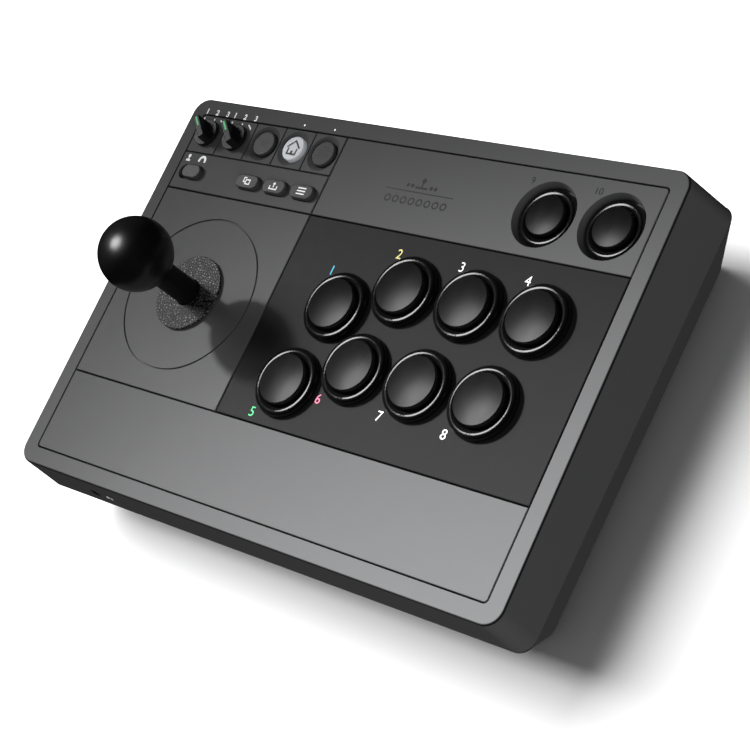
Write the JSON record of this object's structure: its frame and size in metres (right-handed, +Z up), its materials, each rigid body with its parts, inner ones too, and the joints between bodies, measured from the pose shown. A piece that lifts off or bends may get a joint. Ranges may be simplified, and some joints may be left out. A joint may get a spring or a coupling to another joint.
{
  "type": "arcade joystick panel",
  "caption": "Wedge-shaped arcade controller case with a ball-top lever, round push buttons, two recessed buttons and a row of small controls.",
  "frame": {"origin": "middle of the case's outline, on the surface that the feet stand on", "axes": "+X to the player's right, +Y to the back, +Z up"},
  "size_m": [0.3004, 0.206, 0.1165],
  "materials": {
    "shell_grey": "satin moulded plastic, fine grain",
    "panel_grey": "satin moulded plastic",
    "panel_charcoal": "satin overlay, darker than the other panels",
    "gloss_black": "polished",
    "satin_black": "satin",
    "button_grey": "satin",
    "lit_white": "translucent, lit from behind",
    "washer_black": "leather-grained",
    "clear_light": "clear, polished",
    "steel": "zinc plated",
    "screw_steel": "black zinc",
    "inner_black": "moulded nylon",
    "pivot_white": "acetal",
    "circuit_green": "solder mask",
    "switch_black": "moulded",
    "battery_blue": "shrink film",
    "rubber": "moulded, matt",
    "port_steel": "nickel plated",
    "ink_white": "screen-printed ink",
    "ink_cyan": "screen-printed ink",
    "ink_yellow": "screen-printed ink",
    "ink_green": "screen-printed ink",
    "ink_pink": "screen-printed ink",
    "ink_dark": "screen-printed ink"
  },
  "bodies": {
    "root": {"top_housing": "shell_grey", "bottom_cover": "shell_grey", "rubber_feet": "rubber", "case_screws": "screw_steel", "board_screws": "steel", "panel_plate": "steel", "control_panel": "panel_grey", "joystick_panel": "panel_grey", "nameplate_panel": "panel_grey", "button_panel": "panel_charcoal", "palm_rest_panel": "panel_grey", "button_bezels_30mm": "gloss_black", "button_bezels_24mm": "gloss_black", "button_microswitches": "switch_black", "joystick_plate": "steel", "joystick_body": "inner_black", "spring_seat": "inner_black", "joystick_board": "circuit_green", "joystick_microswitches": "switch_black", "restrictor_gate": "inner_black", "tact_switches": "switch_black", "rotary_switches": "switch_black", "slide_switch_body": "switch_black", "control_board": "circuit_green", "light_pipes": "clear_light", "main_board": "circuit_green", "usb_c_port": "port_steel", "headphone_jack": "port_steel", "ballast_plate": "steel", "battery_pack": "battery_blue", "battery_bracket": "steel"},
    "cross_pin": {"pivot_cross_pin": "steel"},
    "lever": {"lever_shaft": "steel", "ball_top": "gloss_black", "shaft_cover": "satin_black", "pivot_ball": "pivot_white", "actuator": "inner_black", "e_clip": "steel", "centering_spring": "steel"},
    "slip_washer": {"slip_washer": "inner_black"},
    "dust_washer": {"dust_washer": "washer_black"},
    "button_1": {"button_cap_1": "gloss_black"},
    "button_2": {"button_cap_2": "gloss_black"},
    "button_3": {"button_cap_3": "gloss_black"},
    "button_4": {"button_cap_4": "gloss_black"},
    "button_5": {"button_cap_5": "gloss_black"},
    "button_6": {"button_cap_6": "gloss_black"},
    "button_7": {"button_cap_7": "gloss_black"},
    "button_8": {"button_cap_8": "gloss_black"},
    "stick_click_left": {"stick_click_cap_left": "gloss_black"},
    "stick_click_right": {"stick_click_cap_right": "gloss_black"},
    "star_button": {"star_button": "button_grey"},
    "home_button": {"home_button": "lit_white"},
    "profile_button": {"profile_button": "button_grey"},
    "view_button": {"view_button": "button_grey"},
    "share_button": {"share_button": "button_grey"},
    "menu_button": {"menu_button": "button_grey"},
    "mode_knob": {"mode_knob": "satin_black"},
    "function_knob": {"function_knob": "satin_black"},
    "slide_switch_knob": {"slide_switch_knob": "button_grey"}
  },
  "joints": [
    {"name": "lever_tilt_side", "type": "hinge", "parent": "root", "child": "cross_pin", "pos_m": [-0.0906, -0.00077, 0.04281], "axis": [0, 0.9992, 0.0393], "range_deg": [-9, 9], "stiffness_Nm_per_rad": 0.6, "deforming": ["centering_spring"]},
    {"name": "lever_tilt_fore", "type": "hinge", "parent": "cross_pin", "child": "lever", "pos_m": [-0.0906, -0.00077, 0.04281], "axis": [1, 0, 0], "range_deg": [-9, 9], "stiffness_Nm_per_rad": 0.6, "deforming": ["centering_spring"]},
    {"name": "slip_washer_slide", "type": "slide", "parent": "root", "child": "slip_washer", "axis": [1, 0, 0], "range_m": [-0.0027, 0.0027]},
    {"name": "dust_washer_slide", "type": "slide", "parent": "slip_washer", "child": "dust_washer", "axis": [0, 0.9992, 0.0393], "range_m": [-0.0027, 0.0027]},
    {"name": "button_1_press", "type": "slide", "parent": "root", "child": "button_1", "axis": [0, 0.0393, -0.9992], "range_m": [0, 0.0022], "stiffness_N_per_m": 300, "springref_m": -0.001},
    {"name": "button_2_press", "type": "slide", "parent": "root", "child": "button_2", "axis": [0, 0.0393, -0.9992], "range_m": [0, 0.0022], "stiffness_N_per_m": 300, "springref_m": -0.001},
    {"name": "button_3_press", "type": "slide", "parent": "root", "child": "button_3", "axis": [0, 0.0393, -0.9992], "range_m": [0, 0.0022], "stiffness_N_per_m": 300, "springref_m": -0.001},
    {"name": "button_4_press", "type": "slide", "parent": "root", "child": "button_4", "axis": [0, 0.0393, -0.9992], "range_m": [0, 0.0022], "stiffness_N_per_m": 300, "springref_m": -0.001},
    {"name": "button_5_press", "type": "slide", "parent": "root", "child": "button_5", "axis": [0, 0.0393, -0.9992], "range_m": [0, 0.0022], "stiffness_N_per_m": 300, "springref_m": -0.001},
    {"name": "button_6_press", "type": "slide", "parent": "root", "child": "button_6", "axis": [0, 0.0393, -0.9992], "range_m": [0, 0.0022], "stiffness_N_per_m": 300, "springref_m": -0.001},
    {"name": "button_7_press", "type": "slide", "parent": "root", "child": "button_7", "axis": [0, 0.0393, -0.9992], "range_m": [0, 0.0022], "stiffness_N_per_m": 300, "springref_m": -0.001},
    {"name": "button_8_press", "type": "slide", "parent": "root", "child": "button_8", "axis": [0, 0.0393, -0.9992], "range_m": [0, 0.0022], "stiffness_N_per_m": 300, "springref_m": -0.001},
    {"name": "stick_click_left_press", "type": "slide", "parent": "root", "child": "stick_click_left", "axis": [0, 0.0393, -0.9992], "range_m": [0, 0.0022], "stiffness_N_per_m": 300, "springref_m": -0.001},
    {"name": "stick_click_right_press", "type": "slide", "parent": "root", "child": "stick_click_right", "axis": [0, 0.0393, -0.9992], "range_m": [0, 0.0022], "stiffness_N_per_m": 300, "springref_m": -0.001},
    {"name": "star_button_press", "type": "slide", "parent": "root", "child": "star_button", "axis": [0, 0.0393, -0.9992], "range_m": [0, 0.0008], "stiffness_N_per_m": 500, "springref_m": -0.0006},
    {"name": "home_button_press", "type": "slide", "parent": "root", "child": "home_button", "axis": [0, 0.0393, -0.9992], "range_m": [0, 0.0008], "stiffness_N_per_m": 500, "springref_m": -0.0006},
    {"name": "profile_button_press", "type": "slide", "parent": "root", "child": "profile_button", "axis": [0, 0.0393, -0.9992], "range_m": [0, 0.0008], "stiffness_N_per_m": 500, "springref_m": -0.0006},
    {"name": "view_button_press", "type": "slide", "parent": "root", "child": "view_button", "axis": [0, 0.0393, -0.9992], "range_m": [0, 0.0008], "stiffness_N_per_m": 500, "springref_m": -0.0006},
    {"name": "share_button_press", "type": "slide", "parent": "root", "child": "share_button", "axis": [0, 0.0393, -0.9992], "range_m": [0, 0.0008], "stiffness_N_per_m": 500, "springref_m": -0.0006},
    {"name": "menu_button_press", "type": "slide", "parent": "root", "child": "menu_button", "axis": [0, 0.0393, -0.9992], "range_m": [0, 0.0008], "stiffness_N_per_m": 500, "springref_m": -0.0006},
    {"name": "mode_knob_turn", "type": "hinge", "parent": "root", "child": "mode_knob", "pos_m": [-0.13015, 0.08029, 0.06201], "axis": [0, -0.0393, 0.9992], "range_deg": [-90, 0]},
    {"name": "function_knob_turn", "type": "hinge", "parent": "root", "child": "function_knob", "pos_m": [-0.11025, 0.08029, 0.06201], "axis": [0, -0.0393, 0.9992], "range_deg": [-90, 0]},
    {"name": "slide_switch_move", "type": "slide", "parent": "root", "child": "slide_switch_knob", "axis": [1, 0, 0], "range_m": [-0.0038, 0]}
  ],
  "couplings": [
    {"joint": "slip_washer_slide", "follows": "lever_tilt_side", "m_per_rad": 0.0167},
    {"joint": "dust_washer_slide", "follows": "lever_tilt_fore", "m_per_rad": -0.0169}
  ]
}
